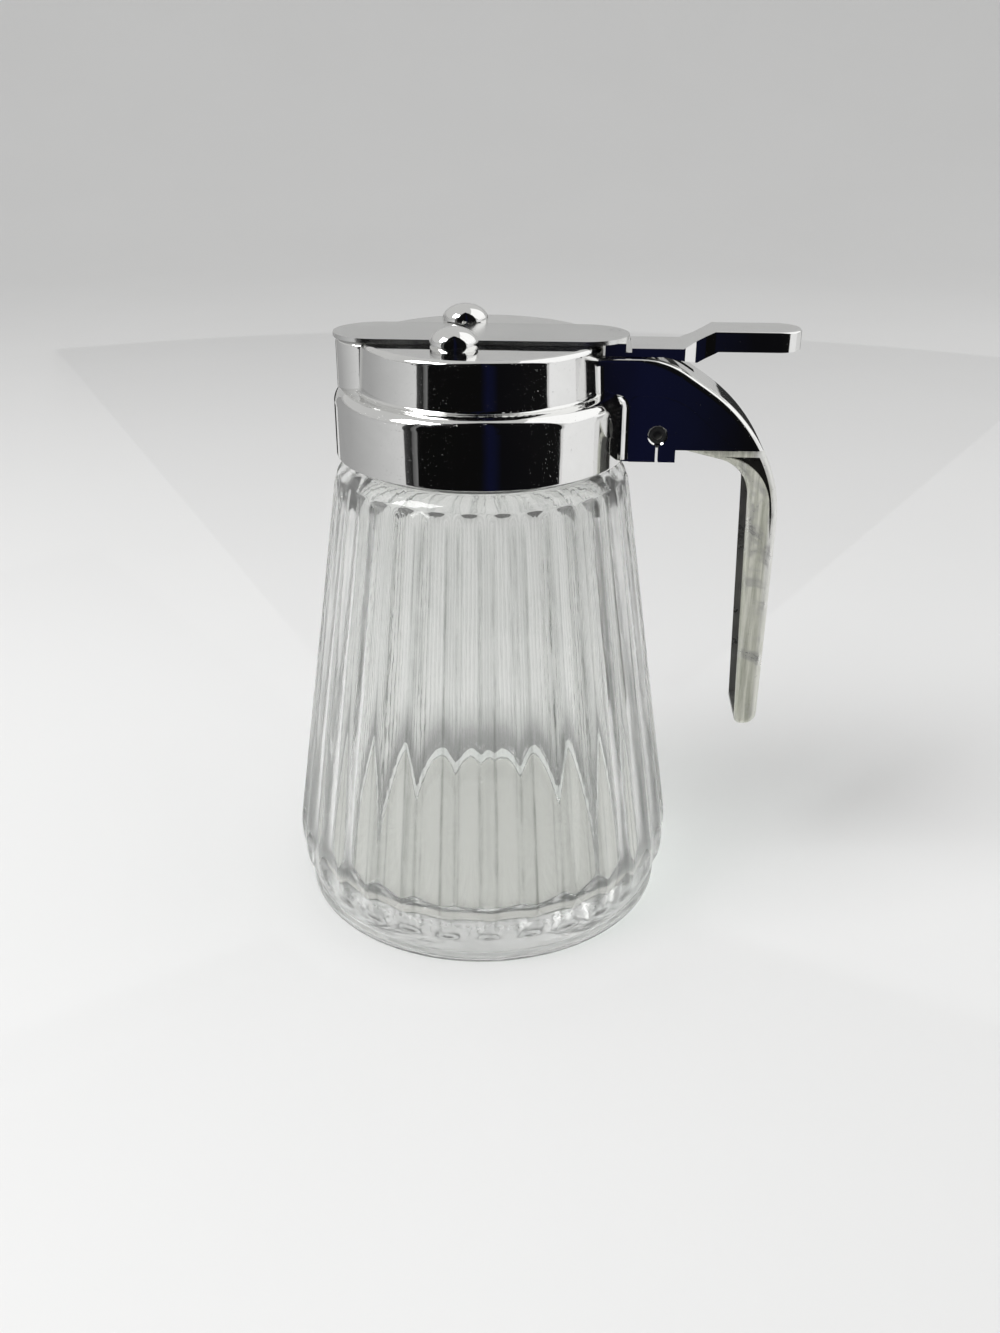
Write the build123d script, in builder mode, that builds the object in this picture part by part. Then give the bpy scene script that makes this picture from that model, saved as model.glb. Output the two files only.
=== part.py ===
"""Table syrup dispenser: a fluted glass jar, a screw-on pouring head with a grip, and a
sliding gate that a thumb lever pulls back off the spout against a torsion spring.

Frame: +Z up, the jar's axis on Z, the base on z = 0, the spout towards -X and the grip
towards +X.  All sizes are in millimetres.
"""
from build123d import *
import os
from math import acos, asin, cos, degrees, hypot, pi, sin, sqrt

os.makedirs("parts", exist_ok=True)

# ---------------------------------------------------------------- driving dimensions
# Glass jar
foot_radius = 46.4
foot_height = 2.4           # up to the groove above the foot ring
groove_depth = 0.5
heel_height = 19.0          # where the heel's curve runs into the straight wall
heel_radius = 48.35         # ridge radius there
shoulder_height = 108.4     # where the straight wall ends
shoulder_radius = 35.0      # ridge radius there
shoulder_rise = 5.0         # from there to the flat top, just below the collar
neck_radius = 29.8
neck_length = 14.1          # shoulder to rim
neck_bore = 26.5            # radius of the mouth
glass_wall = 4.0
floor_thickness = 9.0
floor_corner = 9.0          # inner rounding at the floor
rim_rounding = 0.8
flute_count = 30
flute_roundness = 0.125     # flute radius as a share of the wall's radius
flute_coverage = 0.7        # share of the pitch that each flute takes, between the ribs

# Screw thread between jar and head
thread_pitch = 5.0
thread_turns = 1.5
thread_height = 1.5         # ridge height on the glass
thread_base = 2.4           # ridge width at its root
thread_crest = 1.2          # ridge width at its crest
thread_root_sink = 0.3      # how far a ridge's root is sunk into its wall
thread_gap = 0.4            # radial gap over each crest
thread_rim_gap = 1.1        # top of the ridge to the rim

# Pouring head
collar_radius = 34.0
collar_foot_gap = 1.9       # shoulder of the glass to the collar's foot
collar_top_rounding = 2.8
collar_foot_rounding = 0.5
tower_foot_radius = 28.5
tower_top_radius = 27.9
tower_bore = 26.2
tower_height = 10.9         # collar top to deck
tower_foot_rounding = 0.8
shelf_wall = 1.6            # collar's top over the gasket
deck_thickness = 1.9
rim_edge_rounding = 1.4
gasket_thickness = 1.5
gasket_radius = 31.0
shell_wall = 1.8
spout_reach = 33.4          # axis to the tip of the spout
spout_half_width = 10.0
spout_floor = 1.6           # thickness of the spout's floor over the collar's top
mouth_back = -16.0          # X of the mouth's rear end

# Hollow handle root and grip
root_half_width = 8.5
root_top_drop = 2.9         # deck to the top of the root
root_skin = 1.9
root_rooting = 0.9          # how far the root runs into the tower's wall
root_front_wall = 1.8       # wall between the collar and the hollow root
hollow_setback = 3.1        # tower's outside to the front of the hollow over the collar
hollow_ledge = 0.2          # that front part's floor over the collar's top
root_step_reach = 11.0      # collar's outside to the step in the root's lower edge
root_step_rise = 2.9
spine_corner_reach = 8.3    # collar's outside to where the flat top bends down
spine_corner_radius = 19.0
spine_bend_reach = 26.4     # collar's outside to the slope's second corner
spine_bend_rise = 11.3      # that corner over the collar's foot
spine_bend_radius = 40.0
grip_back_reach = 35.8      # collar's outside to the corner at the top of the grip's back
grip_back_drop = 5.5        # that corner below the collar's foot
grip_back_radius = 33.0
grip_foot_inset = 0.3       # that corner to the grip's tip along X
grip_foot_drop = 67.9       # collar's foot to the grip's tip
grip_foot_radius = 3.0
grip_depth_top = 7.6        # front to back at the top of the grip
grip_depth_foot = 5.4
grip_arch_drop = 4.1        # the root's rear lower edge to the corner of the grip's front
grip_front_radius = 9.0
grip_half_width = 8.0
grip_wall = 1.8
grip_skin = 2.4
seam_gap = 0.1              # joint line between root and grip
long_edge_rounding = 1.6
channel_corner = 12.0       # upper corner of the grip's channel
recess_depth = 0.9          # crescent hollow in each side of the grip
recess_skin = 1.5
recess_front_radius = 12.0
recess_foot_drop = 18.3     # collar's foot to the hollow's lower end
recess_strap = 4.2
fillet_radius = 2.5         # between the head's round walls and the sides of the root
fillet_sink = 0.06          # how far the fillet's arc would run into both
fillet_top_drop = 1.6       # top of the root to the fillet's upper end
panel_rise = 0.3            # raised panel on each side of the root
panel_front_gap = 0.4       # collar's outside to the panel
panel_height = 15.0         # collar's foot to the panel's top edge
panel_corner_reach = 10.8   # collar's outside to where its top edge bends down
panel_rear_reach = 25.2     # collar's outside to its rear end at the seam
panel_front_radius = 1.5
panel_corner_radius = 14.0

# Cross pin, bush and torsion spring in the root
pin_reach = 6.8             # collar's outside to the pin's centre
pin_radius = 1.6
pin_head_radius = 1.9
pin_head_depth = 0.8
pin_head_sink = 0.3         # head below the face of its seat
pin_seat_chamfer = 0.35
pin_dimple_radius = 1.0
pin_dimple_depth = 0.5
fit_gap = 0.05              # radial clearance of every pin, stud and rivet in its hole
slit_width = 0.7
tang_wall = 1.6
tang_side_gap = 0.15
tang_eye_radius = 3.4
tang_height = 6.0           # length of the tang's sloping rear end
tang_rear_inset = 8.4       # corner of the grip's back to the tang's rear end
tang_rooting = 2.4          # how deep the cheeks run into the grip
bush_radius = 2.4
wire_radius = 0.6
coil_radius = 3.4           # to the wire's centre
coil_pitch = 1.7
coil_turns = 3
coil_start_y = -3.9
arm_eye_y = 2.6
arm_eye_sweep = 330         # degrees of the moving end's last turn
arm_length = 12.0           # pin centre to the hook
hook_end_y = -1.9
leg_wall_gap = 0.2

# Gate and thumb lever
gate_travel = 11.0
plate_thickness = 0.95
plate_half_width = 10.3
plate_front_lip = 0.5       # spout's tip to the plate's
plate_back_lip = 5.9        # tower's top edge to the plate's rear tip
slide_gap = 0.1             # under the plate
over_gap = 0.15             # between the plate and what holds it down
lever_gap = 0.15            # over the root's top
lever_stop_gap = 0.4        # tongue to tower when shut
bar_half_width = 6.9
bar_top_drop = 0.9          # deck to the top of the bar
tongue_length = 4.6
notch_length = 1.3          # groove across the bar behind the tongue
notch_depth = 0.9
bar_reach = 12.0            # collar's outside to the rear corners of the bar
neck_reach = 14.4           # ... and to the narrow neck in front of the pad
neck_half_width = 5.5
slope_start_reach = 11.6    # collar's outside to the foot of the slope up to the pad
pad_start_reach = 18.6      # ... and to the top of that slope
pad_rear_reach = 38.0       # ... and to the end of the pad
pad_half_width = 6.0
pad_rise = 2.8              # deck to the top of the pad
pad_thickness = 4.4
pad_corner = 5.4
pad_edge_rounding = 0.5
heel_start_reach = 7.5      # collar's outside to where the bar's underside bends down
heel_end_reach = 14.8       # ... and to its lowest place
heel_drop = 1.4             # how far it drops there
underside_end_reach = 19.3  # ... and to the start of the pad's flat underside
fork_length = 4.0           # of the lever's fork along X
fork_half_width = 1.2
fork_reach = 0.465          # below the spring's hook at its lowest
fork_floor_gap = 0.3        # over the ledge in the root
fork_side_gap = 0.4         # fork in the root's slot, each side
hook_gap = 0.25             # wire in the fork, all round
lever_rivet_radius = 1.1
lever_rivet_head = 1.9
lever_rivet_head_depth = 0.7
lever_rivet_spread = 3.6    # each side of the centre line

# Guide buttons that hold the gate down
button_x = -4.8
button_y = 14.3
button_radius = 5.4
button_height = 4.8
button_belly = 1.2          # height of the widest place over the deck
stud_radius = 2.0
washer_radius = 3.6
washer_thickness = 0.9
peen_radius = 2.6
peen_thickness = 0.5
edge_gap = 0.3              # plate's edge to the step under a button

# ---------------------------------------------------------------- derived places
wall_slope = (heel_radius - shoulder_radius) / (shoulder_height - heel_height)
apex_z = heel_height + heel_radius / wall_slope
wall_radius_at_base = apex_z * wall_slope
shoulder_top = shoulder_height + shoulder_rise
jar_height = shoulder_top + neck_length
collar_foot = shoulder_top + collar_foot_gap
shelf_z = jar_height + gasket_thickness
collar_top = shelf_z + shelf_wall
deck_top = collar_top + tower_height
thread_crest_radius = neck_radius + thread_height
collar_bore = thread_crest_radius + thread_gap
head_crest_radius = neck_radius + thread_gap
thread_rise = thread_pitch * thread_turns
thread_start = jar_height - thread_rim_gap - thread_base / 2 - thread_rise

root_start = tower_top_radius - root_rooting
hollow_front_x = tower_top_radius + hollow_setback
root_step_x = collar_radius + root_step_reach
spine_corner_x = collar_radius + spine_corner_reach
spine_bend_x = collar_radius + spine_bend_reach
grip_back_x = collar_radius + grip_back_reach
grip_foot_x = grip_back_x - grip_foot_inset
panel_front_x = collar_radius + panel_front_gap
panel_corner_x = collar_radius + panel_corner_reach
panel_rear_x = collar_radius + panel_rear_reach
pin_x = collar_radius + pin_reach
tang_rear_x = grip_back_x - tang_rear_inset
bar_rear_x = collar_radius + bar_reach
neck_x = collar_radius + neck_reach
slope_start_x = collar_radius + slope_start_reach
pad_start_x = collar_radius + pad_start_reach
slope_middle_x = (neck_x + pad_start_x) / 2
pad_rear_x = collar_radius + pad_rear_reach
heel_start_x = collar_radius + heel_start_reach
heel_end_x = collar_radius + heel_end_reach
underside_end_x = collar_radius + underside_end_reach
plate_front = spout_reach + plate_front_lip
plate_back = tower_top_radius + plate_back_lip

root_top = deck_top - root_top_drop
seam_z = collar_foot + root_step_rise
root_front = collar_radius + root_front_wall
spine_bend_z = collar_foot + spine_bend_rise
grip_back_z = collar_foot - grip_back_drop
panel_top_z = collar_foot + panel_height
pin_face = root_half_width + panel_rise
grip_foot_z = collar_foot - grip_foot_drop
fillet_top_z = root_top - fillet_top_drop
tower_slope = (tower_foot_radius - tower_top_radius) / tower_height
recess_foot_z = collar_foot - recess_foot_drop
hollow_ledge_z = collar_top + hollow_ledge
hole_radius = pin_radius + fit_gap
arm_swing = asin(gate_travel / 2 / arm_length)
fork_bottom = hollow_ledge_z + fork_floor_gap
hook_x = pin_x - arm_length * sin(arm_swing)
hook_low_z = fork_bottom + fork_reach + wire_radius
pin_z = hook_low_z - arm_length * cos(arm_swing)
hook_high_z = pin_z + arm_length

plate_bottom = deck_top + slide_gap
plate_top = plate_bottom + plate_thickness
bar_bottom = root_top + lever_gap
bar_top = deck_top - bar_top_drop
tongue_front = tower_top_radius + lever_stop_gap
tongue_rear = tongue_front + tongue_length
pad_top = deck_top + pad_rise
notch_rear = tongue_rear + notch_length
lever_rivet_x = tongue_front + tongue_length / 2
stud_length = deck_thickness + washer_thickness + peen_thickness


def inset_corners(points, distance):
    """Corners of an open run of lines moved to its right-hand side by a distance."""
    moved = []
    for index, (x, z) in enumerate(points):
        turns = []
        for first, second in ((index - 1, index), (index, index + 1)):
            if first >= 0 and second < len(points):
                dx = points[second][0] - points[first][0]
                dz = points[second][1] - points[first][1]
                turns.append((dz / hypot(dx, dz), -dx / hypot(dx, dz)))
        nx = sum(turn[0] for turn in turns)
        nz = sum(turn[1] for turn in turns)
        reach = distance * len(turns) / (nx * nx + nz * nz)
        moved.append((x + nx * reach, z + nz * reach))
    return moved


def fillet_section(wall_radius, side):
    """Section of the fillet between a round wall and one side of the root."""
    reach = wall_radius - fillet_sink + fillet_radius
    centre_y = root_half_width - fillet_sink + fillet_radius
    centre_x = sqrt(reach ** 2 - centre_y ** 2)
    share = (wall_radius - fillet_sink) / reach
    wall_end = (centre_x * share, side * centre_y * share)
    side_end = (centre_x, side * (root_half_width - fillet_sink))
    inner_x = wall_end[0] - fillet_radius / 2
    inner_y = side * (root_half_width - fillet_radius / 2)
    with BuildLine() as section:
        RadiusArc(wall_end, side_end, -side * fillet_radius)
        Polyline(
            side_end, (centre_x, inner_y), (inner_x, inner_y), (inner_x, wall_end[1]), wall_end)
    return make_face(section.edges())


def export(part, name):
    """Label a finished piece and write it under its name."""
    part.part.label = name
    export_step(part.part, f"parts/{name}.step")


# ---------------------------------------------------------------- glass jar
# One flute: a cone that shares the wall's apex, so the flutes narrow with the wall.
flute_half_angle = flute_coverage * pi / flute_count
flute_reach = cos(flute_half_angle) + sqrt(flute_roundness ** 2 - sin(flute_half_angle) ** 2)
flute_axis_radius = wall_radius_at_base * flute_reach
flute_span = hypot(flute_axis_radius, apex_z)
flute_plane = Plane(origin=(0, 0, apex_z), z_dir=(flute_axis_radius, 0, -apex_z))
flute_near = 0.6 * flute_span
with BuildPart() as flute:
    with BuildSketch(flute_plane.offset(flute_near)):
        Circle(wall_radius_at_base * flute_roundness * flute_near / flute_span)
    with BuildSketch(flute_plane.offset(flute_span)):
        Circle(wall_radius_at_base * flute_roundness)
    loft(ruled=True)

inner_shoulder_radius = shoulder_radius - glass_wall
inner_heel_radius = heel_radius - glass_wall
with BuildPart() as glass_jar:
    with BuildSketch(Plane.XZ):
        with BuildLine():
            base = Line((0, 0), (foot_radius, 0))
            foot = Line(base @ 1, (foot_radius, foot_height - groove_depth))
            groove = Line(foot @ 1, (foot_radius - groove_depth, foot_height))
            wall = Line((shoulder_radius, shoulder_height), (heel_radius, heel_height))
            TangentArc(wall @ 1, groove @ 1, tangent=wall % 1)
            crown = TangentArc(
                wall @ 0, (neck_radius + rim_rounding, shoulder_top), tangent=-(wall % 0))
            ledge = Line(crown @ 1, (neck_radius, shoulder_top))
            neck = Line(ledge @ 1, (neck_radius, jar_height - rim_rounding))
            rim_out = RadiusArc(neck @ 1, (neck_radius - rim_rounding, jar_height), -rim_rounding)
            rim = Line(rim_out @ 1, (neck_bore + rim_rounding, jar_height))
            rim_in = RadiusArc(rim @ 1, (neck_bore, jar_height - rim_rounding), -rim_rounding)
            bore = Line(rim_in @ 1, (neck_bore, shoulder_top))
            inner_wall = Line(
                (inner_shoulder_radius, shoulder_height - glass_wall),
                (inner_heel_radius, heel_height))
            TangentArc(inner_wall @ 0, bore @ 1, tangent=-(inner_wall % 0))
            inner_heel = TangentArc(
                inner_wall @ 1, (inner_heel_radius - floor_corner, floor_thickness),
                tangent=inner_wall % 1)
            floor = Line(inner_heel @ 1, (0, floor_thickness))
            Line(floor @ 1, (0, 0))
        make_face()
    revolve(axis=Axis.Z)
    with PolarLocations(0, flute_count, start_angle=180 / flute_count):
        add(flute.part, mode=Mode.SUBTRACT)
    # Screw ridge round the neck
    with BuildLine(mode=Mode.PRIVATE) as jar_helix:
        Helix(thread_pitch, thread_rise, neck_radius, center=(0, 0, thread_start))
    with BuildSketch(Plane(jar_helix.line @ 0, x_dir=(1, 0, 0), z_dir=jar_helix.line % 0)):
        with BuildLine():
            Polyline(
                (-thread_root_sink, -thread_base / 2), (thread_height, -thread_crest / 2),
                (thread_height, thread_crest / 2), (-thread_root_sink, thread_base / 2),
                close=True)
        make_face()
    sweep(path=jar_helix.line, is_frenet=True)
export(glass_jar, "glass_jar")

# ---------------------------------------------------------------- sealing gasket
with BuildPart() as sealing_gasket:
    with BuildSketch(Plane.XY.offset(jar_height)):
        Circle(gasket_radius)
        Circle(neck_bore, mode=Mode.SUBTRACT)
    extrude(amount=gasket_thickness)
export(sealing_gasket, "sealing_gasket")

# ---------------------------------------------------------------- handle outline
spine = [
    (root_start, root_top), (spine_corner_x, root_top), (spine_bend_x, spine_bend_z),
    (grip_back_x, grip_back_z), (grip_foot_x, grip_foot_z)]
spine_radii = [spine_corner_radius, spine_bend_radius, grip_back_radius]
grip_front_x = grip_back_x - grip_depth_top
grip_front_foot_x = grip_foot_x - grip_depth_foot
cavity_spine = inset_corners(spine, root_skin)
recess_spine = inset_corners(spine, recess_skin)

with BuildPart() as handle_root:
    with BuildSketch(Plane.XZ):
        with BuildLine():
            back = FilletPolyline(*spine, radius=spine_radii)
            Polyline(
                back @ 1, (root_start, grip_foot_z), (root_start, root_top))
        make_face()
        # Only what lies over the stepped lower edge belongs to the root
        with Locations((root_step_x, seam_z)):
            Rectangle(
                grip_back_x, seam_z, align=(Align.MIN, Align.MAX), mode=Mode.SUBTRACT)
        with Locations((0, collar_foot)):
            Rectangle(
                2 * grip_back_x, seam_z, align=(Align.CENTER, Align.MAX), mode=Mode.SUBTRACT)
    extrude(amount=root_half_width, both=True)
    spine_edges = handle_root.edges().filter_by(
        lambda edge: abs(abs(edge.center().Y) - root_half_width) < 0.01
        and edge.center().Z > seam_z + 0.1 and edge.center().X > root_start + 0.1
        and not abs(edge.center().X - root_step_x) < 0.01)
    fillet(spine_edges, long_edge_rounding)
    # Raised panel on each side
    with BuildSketch(Plane.XZ) as panel:
        with BuildLine():
            panel_line = FilletPolyline(
                (panel_front_x, collar_foot), (panel_front_x, panel_top_z),
                (panel_corner_x, panel_top_z), (panel_rear_x, seam_z),
                radius=[panel_front_radius, panel_corner_radius])
            Polyline(
                panel_line @ 1, (root_step_x, seam_z), (root_step_x, collar_foot),
                panel_line @ 0)
        make_face()
    for side in (-1, 1):
        extrude(
            to_extrude=panel.sketch.moved(Location((0, side * root_half_width, 0))),
            amount=-side * panel_rise)
    # The hollow, open below
    with BuildSketch(Plane.XZ):
        with BuildLine():
            hollow_back = FilletPolyline(
                (hollow_front_x, cavity_spine[0][1]),
                *cavity_spine[1:],
                radius=[radius - root_skin for radius in spine_radii])
            Polyline(
                hollow_back @ 1, (root_front, grip_foot_z), (root_front, hollow_ledge_z),
                (hollow_front_x, hollow_ledge_z), hollow_back @ 0)
        make_face()
    extrude(amount=root_half_width - shell_wall, both=True, mode=Mode.SUBTRACT)
    # Slot for the lever's fork, pin holes with their seats, and the slits below them
    slot_front = hook_x - fork_length / 2 - fork_side_gap
    slot_length = fork_length + gate_travel + 2 * fork_side_gap
    with BuildSketch(Plane.XY.offset(hollow_ledge_z)):
        with Locations((slot_front, 0)):
            Rectangle(
                slot_length, 2 * (fork_half_width + fork_side_gap),
                align=(Align.MIN, Align.CENTER))
    extrude(amount=root_top - hollow_ledge_z, mode=Mode.SUBTRACT)
    with BuildSketch(Plane.XZ):
        with Locations((pin_x, pin_z)):
            Circle(hole_radius)
        with Locations((pin_x, collar_foot)):
            Rectangle(slit_width, pin_z - collar_foot, align=(Align.CENTER, Align.MIN))
    extrude(amount=pin_face, both=True, mode=Mode.SUBTRACT)
    pin_seat = pin_head_radius + fit_gap
    for side in (-1, 1):
        seat_face = Plane((pin_x, side * pin_face, pin_z), z_dir=(0, -side, 0))
        with BuildSketch(seat_face):
            Circle(pin_seat)
        extrude(amount=pin_head_sink + pin_head_depth, mode=Mode.SUBTRACT)
        with BuildSketch(seat_face):
            Circle(pin_seat + pin_seat_chamfer)
        with BuildSketch(seat_face.offset(pin_seat_chamfer)):
            Circle(pin_seat)
        loft(ruled=True, mode=Mode.SUBTRACT)

# ---------------------------------------------------------------- spout
with BuildPart() as spout:
    nose_centre = spout_reach - spout_half_width
    with BuildSketch(Plane.XY.offset(collar_top - collar_top_rounding - 1)):
        with Locations((-nose_centre, 0)):
            Circle(spout_half_width)
            Rectangle(nose_centre, 2 * spout_half_width, align=(Align.MIN, Align.CENTER))
    extrude(amount=tower_height + collar_top_rounding + 1)
    fillet(spout.faces().sort_by(Axis.Z)[-1].edges(), rim_edge_rounding)

# ---------------------------------------------------------------- pouring head
with BuildPart() as pour_head:
    with BuildSketch(Plane.XZ):
        with BuildLine():
            outline = FilletPolyline(
                (0, collar_foot), (collar_radius, collar_foot), (collar_radius, collar_top),
                (tower_foot_radius, collar_top), (tower_top_radius, deck_top), (0, deck_top),
                radius=[collar_foot_rounding, collar_top_rounding, tower_foot_rounding,
                        rim_edge_rounding])
            Line(outline @ 1, outline @ 0)
        make_face()
    revolve(axis=Axis.Z)
    add(spout.part)
    add(handle_root.part)
    # Fillets where the round walls run into the sides of the root
    for side in (-1, 1):
        with BuildSketch(Plane.XY.offset(collar_foot + collar_foot_rounding)):
            add(fillet_section(collar_radius, side))
        for turn in (0, 30, 60, 90):
            fall = collar_top_rounding * (1 - sin(turn * pi / 180))
            inset = collar_top_rounding * (1 - cos(turn * pi / 180))
            with BuildSketch(Plane.XY.offset(collar_top - fall)):
                add(fillet_section(collar_radius - inset, side))
        loft(ruled=True)
        with BuildSketch(Plane.XY.offset(collar_top)):
            add(fillet_section(tower_foot_radius, side))
        with BuildSketch(Plane.XY.offset(fillet_top_z)):
            add(fillet_section(
                tower_foot_radius - tower_slope * (fillet_top_z - collar_top), side))
        loft(ruled=True)
    # Bore of the collar and the tower
    with BuildSketch(Plane.XZ):
        with BuildLine():
            Polyline(
                (0, collar_foot), (collar_bore, collar_foot), (collar_bore, shelf_z),
                (tower_bore, shelf_z), (tower_bore, deck_top - deck_thickness),
                (0, deck_top - deck_thickness), close=True)
        make_face()
    revolve(axis=Axis.Z, mode=Mode.SUBTRACT)
    # Spout channel and the mouth in the deck
    channel_half_width = spout_half_width - shell_wall
    with BuildSketch(Plane.XY.offset(collar_top + spout_floor)):
        with Locations((-nose_centre, 0)):
            Circle(channel_half_width)
            Rectangle(
                nose_centre + mouth_back, 2 * channel_half_width,
                align=(Align.MIN, Align.CENTER))
    extrude(amount=tower_height, mode=Mode.SUBTRACT)
    # Stud holes
    with Locations((button_x, -button_y, deck_top), (button_x, button_y, deck_top)):
        Hole(stud_radius + fit_gap, depth=2 * deck_thickness)
    # Screw ridge in the collar, half a pitch above the one on the glass and ending level
    # with it
    with BuildLine(mode=Mode.PRIVATE) as head_helix:
        Helix(
            thread_pitch, thread_rise - thread_pitch / 2, collar_bore,
            center=(0, 0, thread_start + thread_pitch / 2))
    head_ridge = collar_bore - head_crest_radius
    with BuildSketch(Plane(head_helix.line @ 0, x_dir=(-1, 0, 0), z_dir=head_helix.line % 0)):
        with BuildLine():
            Polyline(
                (-thread_root_sink, -thread_base / 2), (head_ridge, -thread_crest / 2),
                (head_ridge, thread_crest / 2), (-thread_root_sink, thread_base / 2),
                close=True)
        make_face()
    sweep(path=head_helix.line, is_frenet=True)
export(pour_head, "pour_head")

# ---------------------------------------------------------------- grip
grip_top = seam_z - seam_gap
channel_top = grip_top - grip_skin
tang_face = root_half_width - shell_wall - tang_side_gap - tang_wall
with BuildPart() as grip:
    with BuildSketch(Plane.XZ):
        with BuildLine():
            grip_back = FilletPolyline(
                *spine, (grip_front_foot_x, grip_foot_z),
                (grip_front_x, seam_z - grip_arch_drop), (root_step_x, seam_z),
                radius=[*spine_radii, grip_foot_radius, grip_foot_radius / 2,
                        grip_front_radius])
            Polyline(grip_back @ 1, (root_start, seam_z), (root_start, root_top))
        make_face()
        with Locations((0, grip_top)):
            Rectangle(
                2 * grip_back_x, seam_z, align=(Align.CENTER, Align.MIN), mode=Mode.SUBTRACT)
    extrude(amount=grip_half_width, both=True)
    long_edges = grip.edges().filter_by(
        lambda edge: abs(abs(edge.center().Y) - grip_half_width) < 0.01
        and edge.center().Z < grip_top - 0.1 and edge.center().X > grip_front_x + grip_depth_foot)
    fillet(long_edges, long_edge_rounding)
    # Channel, open towards the jar
    with BuildSketch(Plane.XZ):
        with BuildLine():
            channel_back = FilletPolyline(
                (root_front, channel_top), (grip_back_x - grip_skin, channel_top),
                (grip_foot_x - grip_skin, grip_foot_z + grip_skin),
                (root_front, grip_foot_z + grip_skin),
                radius=[channel_corner, grip_wall])
            Line(channel_back @ 1, channel_back @ 0)
        make_face()
    extrude(amount=grip_half_width - grip_wall, both=True, mode=Mode.SUBTRACT)
    # Crescent hollow in each side, between the back's skin and the strap
    with BuildSketch(Plane.XZ) as crescent:
        with BuildLine():
            skin_line = FilletPolyline(
                *recess_spine[2:4], (recess_spine[3][0], recess_foot_z),
                radius=[grip_back_radius - recess_skin])
            strap_line = FilletPolyline(
                skin_line @ 1, (grip_front_x + recess_strap, grip_top - recess_skin),
                (root_step_x, grip_top - recess_skin),
                radius=[recess_front_radius])
            Line(strap_line @ 1, skin_line @ 0)
        make_face()
        with Locations((0, grip_top - recess_skin)):
            Rectangle(
                2 * grip_back_x, seam_z, align=(Align.CENTER, Align.MIN), mode=Mode.SUBTRACT)
    for side in (-1, 1):
        extrude(
            to_extrude=crescent.sketch.moved(Location((0, -side * grip_half_width, 0))),
            amount=-side * recess_depth, mode=Mode.SUBTRACT)
    # Two cheeks of the tang, which the cross pin holds inside the root
    with BuildSketch(Plane.XZ) as cheek:
        with Locations((pin_x, pin_z)):
            Circle(tang_eye_radius)
        with BuildLine():
            Polyline(
                (pin_x, grip_top), (pin_x, pin_z + tang_eye_radius),
                (tang_rear_x - tang_height, pin_z + tang_eye_radius),
                (tang_rear_x, grip_top), (tang_rear_x, grip_top - tang_rooting),
                (tang_rear_x - tang_height / 2, grip_top - tang_rooting),
                (tang_rear_x - tang_height, grip_top), close=True)
        make_face()
        with Locations((pin_x, pin_z)):
            Circle(hole_radius, mode=Mode.SUBTRACT)
    for side in (-1, 1):
        extrude(
            to_extrude=cheek.sketch.moved(Location((0, side * tang_face, 0))),
            amount=-side * tang_wall)
export(grip, "grip")

# ---------------------------------------------------------------- cross pin and its bush
with BuildPart() as spring_pin:
    pin_half_length = pin_face - pin_head_sink
    with BuildSketch(Plane.XZ.offset(-pin_half_length)):
        with Locations((pin_x, pin_z)):
            Circle(pin_radius)
    extrude(amount=2 * pin_half_length)
    for side in (-1, 1):
        with BuildSketch(Plane.XZ.offset(side * pin_half_length)):
            with Locations((pin_x, pin_z)):
                Circle(pin_head_radius)
        extrude(amount=-side * pin_head_depth)
    with BuildSketch(Plane.XZ.offset(pin_half_length)):
        with Locations((pin_x, pin_z)):
            Circle(pin_dimple_radius)
    extrude(amount=-pin_dimple_depth, mode=Mode.SUBTRACT)
export(spring_pin, "spring_pin")

bush_half_length = tang_face - slide_gap
with BuildPart() as spring_bush:
    with BuildSketch(Plane.XZ):
        with Locations((pin_x, pin_z)):
            Circle(bush_radius)
            Circle(hole_radius, mode=Mode.SUBTRACT)
    extrude(amount=bush_half_length, both=True)
export(spring_bush, "spring_bush")

# ---------------------------------------------------------------- torsion spring
# The coil runs round the bush along +Y.  Its fixed leg leaves the underside straight on
# towards the jar and bears on the root's front wall.
coil_plane = Plane(origin=(pin_x, coil_start_y, pin_z), x_dir=(0, 0, -1), z_dir=(0, 1, 0))
leg_length = pin_x - root_front - leg_wall_gap
with BuildLine() as coil:
    Helix(coil_pitch, coil_pitch * coil_turns, coil_radius, lefthand=True)
coil_path = coil.edge().moved(coil_plane.location)
with BuildPart() as return_spring:
    with BuildSketch(Plane(coil_path @ 0, z_dir=coil_path % 0)):
        Circle(wire_radius)
    sweep(path=coil_path, is_frenet=True)
    with BuildSketch(Plane(coil_path @ 0, z_dir=-(coil_path % 0))):
        Circle(wire_radius)
    extrude(amount=leg_length)
export(return_spring, "return_spring")
coil_gap = coil_pitch - 2 * wire_radius
print(f"coil: {coil_turns} turns, least gap between turns {coil_gap:.2f} mm")

# The moving end of the same wire: the last turn, the leg and the hook in the lever's fork.
tangent_angle = pi / 2 + arm_swing - acos(coil_radius / arm_length)
leg_end = Vector(hook_x, arm_eye_y, hook_low_z)
arm_plane = Plane((pin_x, arm_eye_y, pin_z), x_dir=(1, 0, 0), z_dir=(0, -1, 0))
with BuildLine(arm_plane) as arm_path:
    eye = CenterArc(
        (0, 0), coil_radius, degrees(tangent_angle) - arm_eye_sweep, arm_eye_sweep)
    Line(eye @ 1, leg_end)
with BuildPart() as spring_arm:
    with BuildSketch(Plane(arm_path.line @ 0, z_dir=arm_path.line % 0)):
        Circle(wire_radius)
    sweep(path=arm_path.line)
    with BuildSketch(Plane(leg_end, z_dir=(0, -1, 0))):
        Circle(wire_radius)
    extrude(amount=arm_eye_y - hook_end_y)
    with Locations(leg_end):
        Sphere(wire_radius)
export(spring_arm, "spring_arm")

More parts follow.
